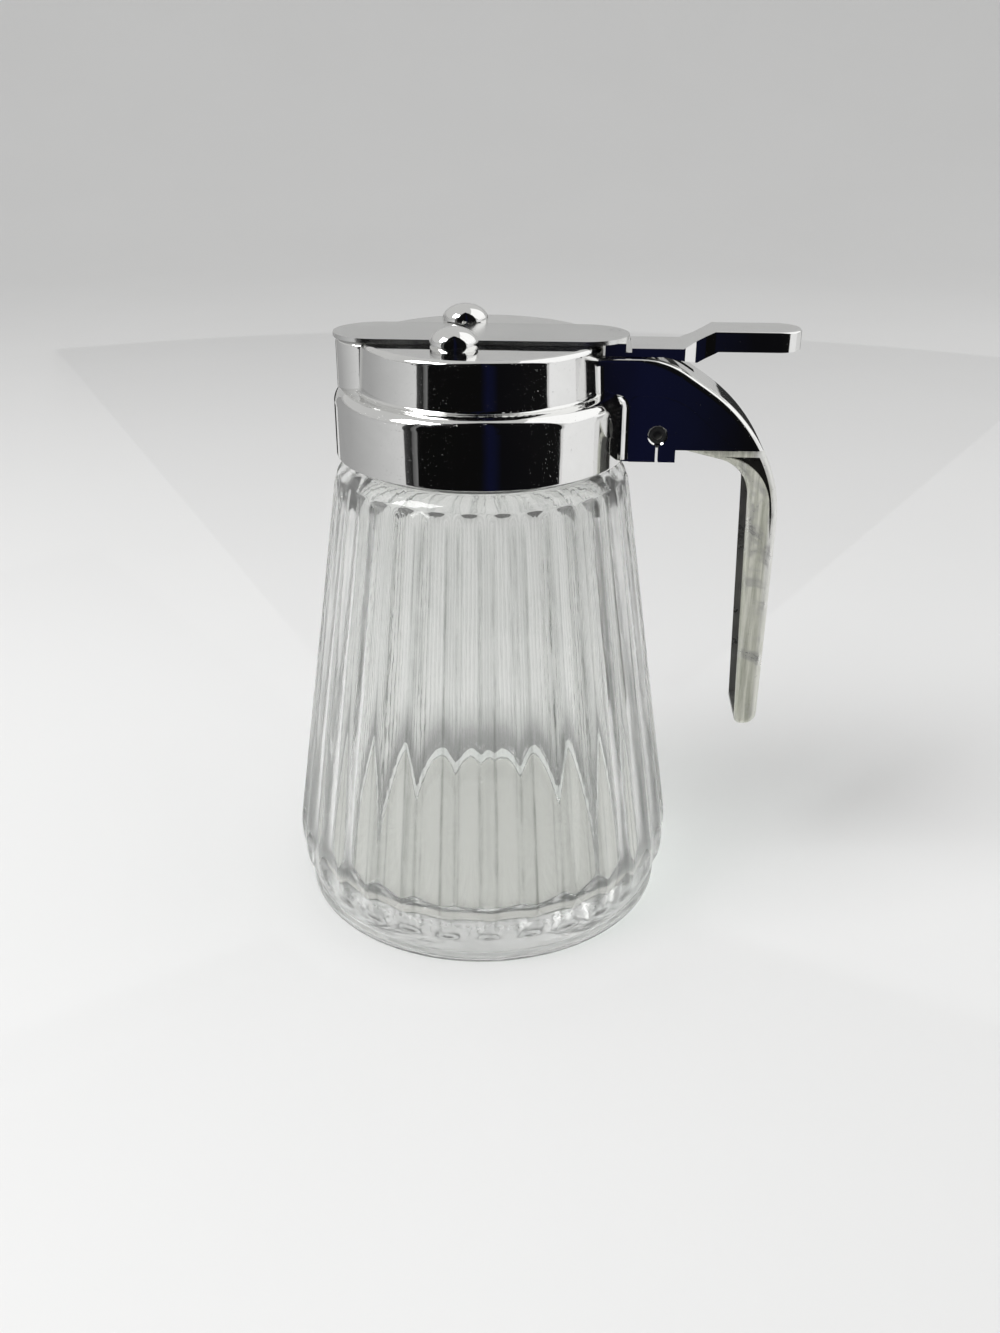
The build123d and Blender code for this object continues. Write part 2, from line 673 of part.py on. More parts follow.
# ---------------------------------------------------------------- gate plate
with BuildPart() as gate_plate:
    plate_length = plate_front + plate_back
    with BuildSketch(Plane.XY.offset(plate_bottom)):
        with Locations((plate_back - plate_length / 2, 0)):
            SlotOverall(plate_length, 2 * plate_half_width)
        with Locations((lever_rivet_x, -lever_rivet_spread), (lever_rivet_x, lever_rivet_spread)):
            Circle(lever_rivet_radius + fit_gap, mode=Mode.SUBTRACT)
    extrude(amount=plate_thickness)
export(gate_plate, "gate_plate")

# ---------------------------------------------------------------- thumb lever
with BuildPart() as thumb_lever:
    with BuildSketch(Plane.XZ):
        with BuildLine():
            Polyline(
                (tongue_front, bar_bottom), (tongue_front, plate_bottom),
                (tongue_rear, plate_bottom), (tongue_rear, bar_top - notch_depth),
                (notch_rear, bar_top - notch_depth), (notch_rear, bar_top),
                (slope_start_x, bar_top), (pad_start_x, pad_top), (pad_rear_x, pad_top),
                (pad_rear_x, pad_top - pad_thickness),
                (underside_end_x, pad_top - pad_thickness),
                (heel_end_x, bar_bottom - heel_drop), (heel_start_x, bar_bottom),
                close=True)
        make_face()
    extrude(amount=bar_half_width, both=True)
    # Outline from above: the bar, and the narrower pad with its rounded end
    with BuildSketch(Plane.XY.offset(bar_bottom - heel_drop)):
        with BuildLine():
            Polyline(
                (tongue_front, -bar_half_width), (bar_rear_x, -bar_half_width),
                (neck_x, -neck_half_width), (slope_middle_x, -neck_half_width),
                (pad_start_x, -pad_half_width), (pad_rear_x, -pad_half_width),
                (pad_rear_x, pad_half_width), (pad_start_x, pad_half_width),
                (slope_middle_x, neck_half_width), (neck_x, neck_half_width),
                (bar_rear_x, bar_half_width), (tongue_front, bar_half_width), close=True)
        make_face()
    extrude(amount=pad_top - bar_bottom + heel_drop, mode=Mode.INTERSECT)
    upright = thumb_lever.edges().filter_by(Axis.Z)
    fillet(upright.group_by(Axis.X)[-1], pad_corner)
    pad_edges = thumb_lever.edges().filter_by(
        lambda edge: edge.center().X > pad_start_x + 0.1
        and edge.center().Z > pad_top - 0.01)
    fillet(pad_edges, pad_edge_rounding)
    # Fork that takes the spring's hook
    with BuildSketch(Plane.XZ):
        with Locations((hook_x, bar_bottom)):
            Rectangle(
                fork_length, bar_bottom - fork_bottom, align=(Align.CENTER, Align.MAX))
        with Locations((hook_x, fork_bottom)):
            Rectangle(
                2 * (wire_radius + hook_gap), hook_high_z + wire_radius + hook_gap - fork_bottom,
                align=(Align.CENTER, Align.MIN), mode=Mode.SUBTRACT)
    extrude(amount=fork_half_width, both=True)
    # Rivet holes, with their seats in the underside
    for y in (-lever_rivet_spread, lever_rivet_spread):
        with BuildSketch(Plane.XY.offset(bar_bottom)):
            with Locations((lever_rivet_x, y)):
                Circle(lever_rivet_radius + fit_gap)
        extrude(amount=plate_bottom - bar_bottom, mode=Mode.SUBTRACT)
        with BuildSketch(Plane.XY.offset(bar_bottom)):
            with Locations((lever_rivet_x, y)):
                Circle(lever_rivet_head + fit_gap)
        extrude(amount=lever_rivet_head_depth, mode=Mode.SUBTRACT)
export(thumb_lever, "thumb_lever")

for name, y in (("lever_rivet_near", -lever_rivet_spread), ("lever_rivet_far", lever_rivet_spread)):
    with BuildPart() as lever_rivet:
        with BuildSketch(Plane.XY.offset(bar_bottom)):
            with Locations((lever_rivet_x, y)):
                Circle(lever_rivet_radius)
        extrude(amount=plate_top - bar_bottom)
        with BuildSketch(Plane.XY.offset(bar_bottom)):
            with Locations((lever_rivet_x, y)):
                Circle(lever_rivet_head)
        extrude(amount=lever_rivet_head_depth)
    export(lever_rivet, name)

# ---------------------------------------------------------------- guide buttons
dome_rise = button_height - button_belly
dome_foot_angle = degrees(asin(button_belly / dome_rise))
for name, side in (("near", -1), ("far", 1)):
    button_axis = Plane((button_x, side * button_y, deck_top), x_dir=(1, 0, 0), z_dir=(0, -1, 0))
    with BuildPart() as guide_button:
        with BuildSketch(button_axis):
            with BuildLine():
                dome = EllipticalCenterArc(
                    (0, button_belly), button_radius, dome_rise,
                    start_angle=-dome_foot_angle, arc_size=90 + dome_foot_angle)
                Polyline(
                    dome @ 0, (stud_radius, 0), (stud_radius, -stud_length),
                    (0, -stud_length), dome @ 1)
            make_face()
        revolve(axis=Axis((button_x, side * button_y, deck_top), (0, 0, 1)))
        # Step over the gate's edge
        with BuildSketch(Plane.XY.offset(deck_top)):
            with Locations((button_x, side * (plate_half_width + edge_gap))):
                Rectangle(
                    3 * button_radius, button_radius,
                    align=(Align.CENTER, Align.MAX if side > 0 else Align.MIN))
        extrude(amount=slide_gap + plate_thickness + over_gap, mode=Mode.SUBTRACT)
        # Peened end under the washer
        with BuildSketch(Plane.XY.offset(deck_top - stud_length)):
            with Locations((button_x, side * button_y)):
                Circle(peen_radius)
        extrude(amount=peen_thickness)
    export(guide_button, f"guide_button_{name}")

    with BuildPart() as button_washer:
        with BuildSketch(Plane.XY.offset(deck_top - deck_thickness - washer_thickness)):
            with Locations((button_x, side * button_y)):
                Circle(washer_radius)
                Circle(stud_radius + fit_gap, mode=Mode.SUBTRACT)
        extrude(amount=washer_thickness)
    export(button_washer, f"button_washer_{name}")
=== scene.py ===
import math

import bpy
from mathutils import Matrix, Vector, noise


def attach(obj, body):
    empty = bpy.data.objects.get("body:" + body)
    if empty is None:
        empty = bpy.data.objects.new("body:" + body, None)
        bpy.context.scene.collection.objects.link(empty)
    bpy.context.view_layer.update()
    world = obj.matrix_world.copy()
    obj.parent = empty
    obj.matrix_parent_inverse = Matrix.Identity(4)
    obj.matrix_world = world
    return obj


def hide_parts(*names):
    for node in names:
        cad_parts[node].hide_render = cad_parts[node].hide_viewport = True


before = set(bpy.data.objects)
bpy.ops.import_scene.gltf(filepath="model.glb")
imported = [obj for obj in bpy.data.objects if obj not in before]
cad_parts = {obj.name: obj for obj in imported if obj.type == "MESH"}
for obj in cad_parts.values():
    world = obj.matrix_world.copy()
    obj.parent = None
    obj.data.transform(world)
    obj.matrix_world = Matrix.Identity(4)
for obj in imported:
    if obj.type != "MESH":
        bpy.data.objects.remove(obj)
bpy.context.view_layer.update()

MM = 0.001
scene = bpy.context.scene

# ------------------------------------------------------------------ camera
# Fitted to the photograph (1000 x 1333): distances from the jar's axis in millimetres,
# angles in radians.
PHOTO_HEIGHT = 1333
SENSOR = 36.0
FOCAL_PIXELS = 1254.0
CAMERA_DISTANCE = 290.3
CAMERA_HEIGHT = 198.3
CAMERA_PITCH = 0.45087
CAMERA_PAN = 0.01546
CAMERA_ROLL = 0.00163
OBJECT_YAW = math.radians(4.5)


def make_camera():
    pitch, pan, roll = CAMERA_PITCH, CAMERA_PAN, CAMERA_ROLL
    forward = Vector((math.sin(pan) * math.cos(pitch), math.cos(pan) * math.cos(pitch),
                      -math.sin(pitch)))
    level = Vector((math.cos(pan), -math.sin(pan), 0))
    upward = level.cross(forward)
    right = level * math.cos(roll) + upward * math.sin(roll)
    up = upward * math.cos(roll) - level * math.sin(roll)
    turn = Matrix.Rotation(OBJECT_YAW, 3, "Z")
    place = turn @ Vector((0, -CAMERA_DISTANCE, CAMERA_HEIGHT)) * MM
    axes = [turn @ right, turn @ up, turn @ -forward]
    data = bpy.data.cameras.new("camera")
    data.sensor_width = SENSOR
    data.lens = FOCAL_PIXELS / PHOTO_HEIGHT * SENSOR
    data.clip_start = 0.01
    data.clip_end = 20
    camera = bpy.data.objects.new("camera", data)
    scene.collection.objects.link(camera)
    rotation = Matrix(axes).transposed()
    camera.matrix_world = Matrix.Translation(place) @ rotation.to_4x4()
    scene.camera = camera


make_camera()


# ------------------------------------------------------------------ helpers
def link_mesh(name, mesh, material):
    piece = bpy.data.objects.new(name, mesh)
    scene.collection.objects.link(piece)
    mesh.materials.append(material)
    for face in mesh.polygons:
        face.use_smooth = True
    return piece


class Nodes:
    """A short way to write a node material."""

    def __init__(self, name):
        self.material = bpy.data.materials.new(name)
        self.material.use_nodes = True
        self.tree = self.material.node_tree
        self.tree.nodes.clear()
        self.output = self.add("ShaderNodeOutputMaterial")

    def add(self, kind, **values):
        node = self.tree.nodes.new(kind)
        for key, value in values.items():
            setattr(node, key, value)
        return node

    def link(self, source, target):
        self.tree.links.new(source, target)

    def coordinates(self, scale=(1, 1, 1)):
        place = self.add("ShaderNodeTexCoord")
        mapping = self.add("ShaderNodeMapping")
        mapping.inputs["Scale"].default_value = scale
        self.link(place.outputs["Object"], mapping.inputs["Vector"])
        return mapping.outputs["Vector"]

    def noise(self, vector, scale, detail=4.0, roughness=0.5, distortion=0.0):
        node = self.add("ShaderNodeTexNoise")
        node.inputs["Scale"].default_value = scale
        node.inputs["Detail"].default_value = detail
        node.inputs["Roughness"].default_value = roughness
        node.inputs["Distortion"].default_value = distortion
        self.link(vector, node.inputs["Vector"])
        return node.outputs["Fac"]

    def ramp(self, value, stops):
        node = self.add("ShaderNodeValToRGB")
        ramp = node.color_ramp
        while len(ramp.elements) < len(stops):
            ramp.elements.new(0.5)
        for element, (place, colour) in zip(ramp.elements, stops):
            element.position = place
            element.color = (*colour, 1)
        self.link(value, node.inputs["Fac"])
        return node.outputs["Color"]

    def remap(self, value, low, high, new_low, new_high):
        node = self.add("ShaderNodeMapRange")
        for key, number in (("From Min", low), ("From Max", high),
                            ("To Min", new_low), ("To Max", new_high)):
            node.inputs[key].default_value = number
        self.link(value, node.inputs["Value"])
        return node.outputs["Result"]

    def math(self, operation, first, second=0.0):
        node = self.add("ShaderNodeMath", operation=operation)
        for socket, value in zip(node.inputs, (first, second)):
            if isinstance(value, (int, float)):
                socket.default_value = value
            else:
                self.link(value, socket)
        return node.outputs["Value"]

    def split(self, kind):
        """X, Y and Z of the object's own coordinates or normal."""
        place = self.add("ShaderNodeTexCoord")
        split = self.add("ShaderNodeSeparateXYZ")
        self.link(place.outputs[kind], split.inputs["Vector"])
        return split.outputs["X"], split.outputs["Y"], split.outputs["Z"]

    def mix(self, share, first, second):
        node = self.add("ShaderNodeMix", data_type="RGBA")
        self.link(share, node.inputs["Factor"])
        for socket, value in ((node.inputs[6], first), (node.inputs[7], second)):
            if isinstance(value, tuple):
                socket.default_value = (*value, 1)
            else:
                self.link(value, socket)
        return node.outputs[2]

    def painted_flute_shade_lines(self, unevenness):
        """Mask of painted shade lines: 1 where a rib runs into a flute, 0 elsewhere. The glass is
        painted darker there, standing in for the dark lines its refraction draws.
        """
        x, y, z = self.split("Object")
        turn = self.math("ARCTAN2", y, x)
        phase = self.math("ADD", self.math("MULTIPLY", turn, FLUTES / (2 * math.pi)), 0.5)
        off = self.math("SUBTRACT", self.math("FRACT", phase), 0.5)
        off = self.math("MULTIPLY", self.math("ABSOLUTE", off), 2)
        line = self.ramp(off, [
            (0.0, (0.25, 0.25, 0.25)), (0.2, (0.1, 0.1, 0.1)), (RIB_SHARE, (1, 1, 1)),
            (0.46, (0.12, 0.12, 0.12)), (0.7, (0, 0, 0))])
        high = self.remap(z, *LINE_TOP, 0.0, 1.0)
        low = self.remap(z, *LINE_FOOT, 0.0, 1.0)
        line = self.math("MULTIPLY", line, self.math("MULTIPLY", high, low))
        return self.math("MULTIPLY", line, self.remap(unevenness, 0.35, 0.65, 0.15, 1.0))

    def bump(self, height, distance, strength=1.0, normal=None):
        node = self.add("ShaderNodeBump")
        node.inputs["Strength"].default_value = strength
        node.inputs["Distance"].default_value = distance
        self.link(height, node.inputs["Height"])
        if normal is not None:
            self.link(normal, node.inputs["Normal"])
        return node.outputs["Normal"]

    def principled(self, **values):
        node = self.add("ShaderNodeBsdfPrincipled")
        for key, value in values.items():
            socket = node.inputs[key.replace("_", " ")]
            if isinstance(value, bpy.types.NodeSocket):
                self.link(value, socket)
            else:
                socket.default_value = value
        self.link(node.outputs["BSDF"], self.output.inputs["Surface"])
        return node


# ------------------------------------------------------------------ materials
FLUTES = 30
FLUTE_DEPTH = 0.024          # as a share of the wall's radius
RIB_SHARE = 0.34             # of the half pitch, taken by the rib's convex crown
RIB_TIP_Z, RIB_TIP = 7.6, 3.2
FLUTE_TOP_Z, FLUTE_TOP = 110.4, 3.0
GLASS_CLEARNESS = 0.94
# Places on the part, in metres
# The flutes' edge lines are painted shade in the glass's colour
LINE_TOP, LINE_FOOT = (0.108, 0.104), (0.007, 0.011)    # where the flutes' edge lines fade in
GRIP_BACK_X, GRIP_BEND_Z = 0.0698, 0.1098      # the grip's back, and where it bends
GRIP_LEAN_X, GRIP_LEAN_Z = 0.873, 0.488        # how the back leans above the bend
TANG_FOOT_Z = 0.1183


def chrome_material():
    """Bright plating with small pits, faint smears and a slightly uneven surface."""
    made = Nodes("polished_chrome")
    place = made.coordinates()
    wave = made.noise(place, 55, detail=2.0)
    pit_mask = made.remap(made.noise(place, 2600, detail=3.0, roughness=0.6), 0.68, 0.74, 0.0, 1.0)
    smudge = made.noise(place, 90, detail=6.0, roughness=0.65, distortion=0.6)
    speck = made.remap(made.noise(place, 900, detail=5.0, roughness=0.75), 0.70, 0.76, 0.0, 1.0)
    normal = made.bump(wave, 0.00035, 0.3)
    normal = made.bump(pit_mask, -0.00003, 0.5, normal)
    clean = made.ramp(smudge, [(0.25, (0.79, 0.79, 0.78)), (0.75, (0.86, 0.86, 0.85))])
    colour = made.mix(made.math("MULTIPLY", speck, 0.7), clean, (0.2, 0.19, 0.17))
    rough = made.remap(smudge, 0.3, 0.8, 0.03, 0.085)
    rough = made.math("ADD", rough, made.math("MULTIPLY", pit_mask, 0.2))
    rough = made.math("ADD", rough, made.math("MULTIPLY", speck, 0.25))
    made.principled(Base_Color=colour, Metallic=1.0, Roughness=rough, Normal=normal)
    return made.material


def worn_chrome_painted_light_material():
    """The grip: plating that handling has dulled to grey, with a painted highlight along its back,
    painted shade in the hollow of each side and inside its channel, and near black where the tang
    runs into the root."""
    made = Nodes("worn_chrome_painted_light")
    x, y, z = made.split("Object")
    facing_y = made.split("Normal")[1]
    place = made.coordinates()
    streak = made.noise(made.coordinates((1, 1, 0.05)), 900, detail=6.0, roughness=0.7)
    patch = made.noise(place, 120, detail=7.0, roughness=0.7, distortion=0.8)
    wear = made.remap(patch, 0.36, 0.52, 0.25, 1.0)
    # Distance in from the back, below its bend and above it
    below = made.math("SUBTRACT", GRIP_BACK_X, x)
    above = made.math("ADD", made.math("MULTIPLY", below, GRIP_LEAN_X),
                      made.math("MULTIPLY", made.math("SUBTRACT", GRIP_BEND_Z, z), GRIP_LEAN_Z))
    inward = made.math("MINIMUM", below, above)
    # Painted highlight: a pale band along the grip's back, fainter lower down
    painted_back_highlight = made.remap(inward, 0.0024, 0.0016, 0.0, 1.0)
    painted_back_highlight = made.math("MULTIPLY", painted_back_highlight, made.remap(z, 0.070, 0.098, 0.35, 1.0))
    speck = made.remap(made.noise(place, 700, detail=6.0, roughness=0.8), 0.62, 0.70, 0.0, 1.0)
    dull = made.ramp(streak, [(0.34, (0.44, 0.45, 0.37)), (0.62, (0.8, 0.8, 0.71))])
    bright = made.ramp(streak, [(0.3, (0.72, 0.72, 0.7)), (0.7, (0.84, 0.84, 0.82))])
    colour = made.mix(wear, bright, dull)
    # The painted highlight along the back, in pale grey
    colour = made.mix(made.math("MULTIPLY", painted_back_highlight, 0.85), colour, (0.9, 0.9, 0.88))
    colour = made.mix(made.math("MULTIPLY", speck, 0.6), colour, (0.09, 0.085, 0.07))
    # Painted shade on the floor of the side hollow
    depth = made.math("ABSOLUTE", y)
    hollow = made.math("MULTIPLY", made.remap(depth, 0.0066, 0.0069, 0.0, 1.0),
                       made.remap(depth, 0.0078, 0.0074, 0.0, 1.0))
    flat = made.remap(made.math("ABSOLUTE", facing_y), 0.85, 0.95, 0.0, 1.0)
    painted_hollow_shade = made.math("MULTIPLY", made.math("MULTIPLY", hollow, flat),
                      made.remap(z, 0.085, 0.090, 0.0, 1.0))
    painted_hollow_shade = made.math("MULTIPLY", painted_hollow_shade, made.remap(patch, 0.62, 0.55, 0.6, 1.0))
    colour = made.mix(painted_hollow_shade, colour, (0.012, 0.011, 0.01))
    # Painted shade inside the channel; the tang, where it runs into the root, is made near black
    inside = made.math("MULTIPLY", made.remap(depth, 0.0066, 0.0063, 0.0, 1.0),
                       made.remap(inward, 0.0021, 0.0024, 0.0, 1.0))
    colour = made.mix(made.math("MULTIPLY", inside, 0.8), colour, (0.09, 0.088, 0.095))
    colour = made.mix(made.remap(z, TANG_FOOT_Z, TANG_FOOT_Z + 0.0007, 0.0, 1.0), colour,
                      (0.05, 0.048, 0.045))
    rough = made.math("ADD", made.remap(wear, 0.0, 1.0, 0.14, 0.36),
                      made.math("MULTIPLY", streak, 0.08))
    metallic = made.math("MULTIPLY", made.remap(wear, 0.0, 1.0, 0.85, 0.25),
                         made.math("SUBTRACT", 1.0, painted_hollow_shade))
    normal = made.bump(streak, 0.00004, 0.5)
    normal = made.bump(speck, -0.00004, 0.5, normal)
    made.principled(Base_Color=colour, Metallic=metallic, Roughness=rough, Normal=normal)
    return made.material


def steel_material(name, dark, pale, rough_low, rough_high):
    made = Nodes(name)
    streaks = made.noise(made.coordinates((6, 260, 260)), 16, detail=6.0, roughness=0.7)
    place = made.coordinates()
    smudge = made.noise(place, 70, detail=6.0, roughness=0.65, distortion=0.4)
    normal = made.bump(streaks, 0.00003, 0.3)
    colour = made.ramp(smudge, [(0.25, dark), (0.75, pale)])
    rough = made.math("ADD", made.remap(smudge, 0.3, 0.8, rough_low, rough_high),
                      made.math("MULTIPLY", streaks, 0.08))
    made.principled(Base_Color=colour, Metallic=1.0, Roughness=rough, Normal=normal)
    return made.material


def rubber_material():
    made = Nodes("gasket_rubber")
    place = made.coordinates()
    grain = made.noise(place, 900, detail=5.0)
    colour = made.ramp(grain, [(0.3, (0.5, 0.485, 0.45)), (0.7, (0.64, 0.62, 0.58))])
    made.principled(Base_Color=colour, Roughness=0.7, Normal=made.bump(grain, 0.0001, 0.3))
    return made.material


def glass_material():
    """Pressed soda glass: slightly wavy, faintly green-grey and a little hazy."""
    made = Nodes("pressed_glass")
    place = made.coordinates((1, 1, 0.3))
    wave = made.noise(place, 110, detail=3.0, roughness=0.5, distortion=0.3)
    shear = made.noise(made.coordinates((1, 1, 0.05)), 380, detail=3.0, roughness=0.6)
    normal = made.bump(wave, 0.0006, 0.3)
    normal = made.bump(shear, 0.00012, 0.2, normal)
    rough = made.remap(made.noise(place, 60, detail=5.0), 0.35, 0.8, 0.0, 0.03)
    cords = made.remap(shear, 0.3, 0.7, 0.0, 1.0)
    colour = made.ramp(cords, [(0.0, (0.945, 0.952, 0.94)), (1.0, (0.985, 0.988, 0.98))])
    # Painted shade: the glass is darkened along the flute edges, standing in for the dark lines
    # refraction draws there
    colour = made.mix(made.painted_flute_shade_lines(shear), colour, (0.42, 0.44, 0.42))
    glass = made.principled(
        Base_Color=colour, Roughness=rough, IOR=1.5, Transmission_Weight=GLASS_CLEARNESS,
        Normal=normal)
    # Light from the lamps passes through clear glass instead of stopping at it
    clear = made.add("ShaderNodeBsdfTransparent")
    clear.inputs["Color"].default_value = (0.86, 0.88, 0.87, 1)
    path = made.add("ShaderNodeLightPath")
    mixed = made.add("ShaderNodeMixShader")
    made.link(path.outputs["Is Shadow Ray"], mixed.inputs["Fac"])
    made.link(glass.outputs["BSDF"], mixed.inputs[1])
    made.link(clear.outputs["BSDF"], mixed.inputs[2])
    made.link(mixed.outputs["Shader"], made.output.inputs["Surface"])
    return made.material


CHROME = chrome_material()
WORN_CHROME_PAINTED_LIGHT = worn_chrome_painted_light_material()
STEEL = steel_material("rolled_steel", (0.67, 0.675, 0.67), (0.78, 0.78, 0.77), 0.12, 0.22)
PIN_STEEL = steel_material("darkened_pin", (0.3, 0.3, 0.28), (0.6, 0.6, 0.58), 0.38, 0.55)
RUBBER = rubber_material()
GLASS = glass_material()

CAD_MATERIALS = {
    "pour_head": CHROME, "grip": WORN_CHROME_PAINTED_LIGHT, "spring_pin": PIN_STEEL, "thumb_lever": CHROME,
    "guide_button_near": CHROME, "guide_button_far": CHROME, "gate_plate": STEEL,
    "spring_bush": STEEL, "return_spring": STEEL, "spring_arm": STEEL,
    "lever_rivet_near": STEEL, "lever_rivet_far": STEEL, "button_washer_near": STEEL,
    "button_washer_far": STEEL, "sealing_gasket": RUBBER,
}
for node_name, material in CAD_MATERIALS.items():
    node_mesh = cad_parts[node_name].data
    for index in range(len(node_mesh.materials)):
        node_mesh.materials[index] = material

# ------------------------------------------------------------------ glass jar
# Sizes in millimetres, as in the solid it stands for.
FOOT_RADIUS, FOOT_TOP, GROOVE = 46.4, 1.9, 0.5
HEEL_Z, HEEL_R = 19.0, 48.35
SHOULDER_Z, SHOULDER_R = 108.4, 35.0
LEDGE_Z, NECK_R, BORE_R, RIM_Z = 113.4, 29.8, 26.5, 127.5
RIM_ROUND = 0.8
WALL = 4.0
FLOOR_Z, FLOOR_CORNER = 9.0, 9.0
THREAD_PITCH, THREAD_TURNS, THREAD_START = 5.0, 1.5, 117.7
THREAD_DEPTH, THREAD_BASE, THREAD_CREST = 1.5, 2.4, 1.2
COLUMNS_PER_FLUTE = 24
RIPPLE_DEPTH, RIPPLE_TURN, RIPPLE_RISE = 0.22, 3.2, 0.018   # unevenness of the inner wall


def tangent_arc(start, direction, end, steps):
    """Points after start, up to end, on the arc that leaves start in a direction."""
    start, end = Vector(start), Vector(end)
    direction = Vector(direction).normalized()
    normal = Vector((-direction.y, direction.x))
    chord = end - start
    radius = chord.length_squared / (2 * chord.dot(normal))
    centre = start + normal * radius
    first = math.atan2(start.y - centre.y, start.x - centre.x)
    last = math.atan2(end.y - centre.y, end.x - centre.x)
    sweep = last - first
    if radius > 0:
        sweep = sweep % (2 * math.pi)
    else:
        sweep = -((-sweep) % (2 * math.pi))
    size = abs(radius)
    return [
        (centre.x + size * math.cos(first + sweep * i / steps),
         centre.y + size * math.sin(first + sweep * i / steps))
        for i in range(1, steps + 1)]


def straight(start, end, steps):
    return [
        (start[0] + (end[0] - start[0]) * i / steps, start[1] + (end[1] - start[1]) * i / steps)
        for i in range(1, steps + 1)]


def jar_rows():
    """The jar's section from the middle of its base, out, up, over the rim and down inside."""
    slope = (SHOULDER_R - HEEL_R, SHOULDER_Z - HEEL_Z)
    groove_r = FOOT_RADIUS - GROOVE
    heel = [(HEEL_R, HEEL_Z)] + tangent_arc(
        (HEEL_R, HEEL_Z), (-slope[0], -slope[1]), (groove_r, FOOT_TOP + GROOVE), 26)
    outside = [(0, 0)] + straight((0, 0), (FOOT_RADIUS - 0.5, 0), 6)
    outside += [(FOOT_RADIUS - 0.15, 0.12), (FOOT_RADIUS, 0.5)]
    outside += [(FOOT_RADIUS, FOOT_TOP - 0.3), (FOOT_RADIUS - 0.12, FOOT_TOP)]
    outside += [(groove_r + 0.08, FOOT_TOP + GROOVE - 0.12)]
    outside += list(reversed(heel))
    outside += straight((HEEL_R, HEEL_Z), (SHOULDER_R, SHOULDER_Z), 70)
    outside += tangent_arc(
        (SHOULDER_R, SHOULDER_Z), slope, (NECK_R + RIM_ROUND, LEDGE_Z), 18)
    outside += [(NECK_R, LEDGE_Z + 0.1)]
    outside += straight((NECK_R, LEDGE_Z + 0.1), (NECK_R, RIM_Z - RIM_ROUND), 56)
    outside += tangent_arc(
        (NECK_R, RIM_Z - RIM_ROUND), (0, 1), (NECK_R - RIM_ROUND, RIM_Z), 5)
    inner_shoulder = (SHOULDER_R - WALL, SHOULDER_Z - WALL)
    inner_heel = (HEEL_R - WALL, HEEL_Z)
    run = (inner_shoulder[0] - inner_heel[0], inner_shoulder[1] - inner_heel[1])
    inside = [(BORE_R + RIM_ROUND, RIM_Z)]
    inside += tangent_arc(
        (BORE_R + RIM_ROUND, RIM_Z), (-1, 0), (BORE_R, RIM_Z - RIM_ROUND), 5)
    inside += straight((BORE_R, RIM_Z - RIM_ROUND), (BORE_R, LEDGE_Z), 8)
    neck_curve = [inner_shoulder] + tangent_arc(inner_shoulder, run, (BORE_R, LEDGE_Z), 10)
    inside += list(reversed(neck_curve))[1:]
    inside += straight(inner_shoulder, inner_heel, 60)
    inside += tangent_arc(
        inner_heel, (-run[0], -run[1]), (inner_heel[0] - FLOOR_CORNER, FLOOR_Z), 24)
    inside += straight((inner_heel[0] - FLOOR_CORNER, FLOOR_Z), (0, FLOOR_Z), 8)
    return outside, inside


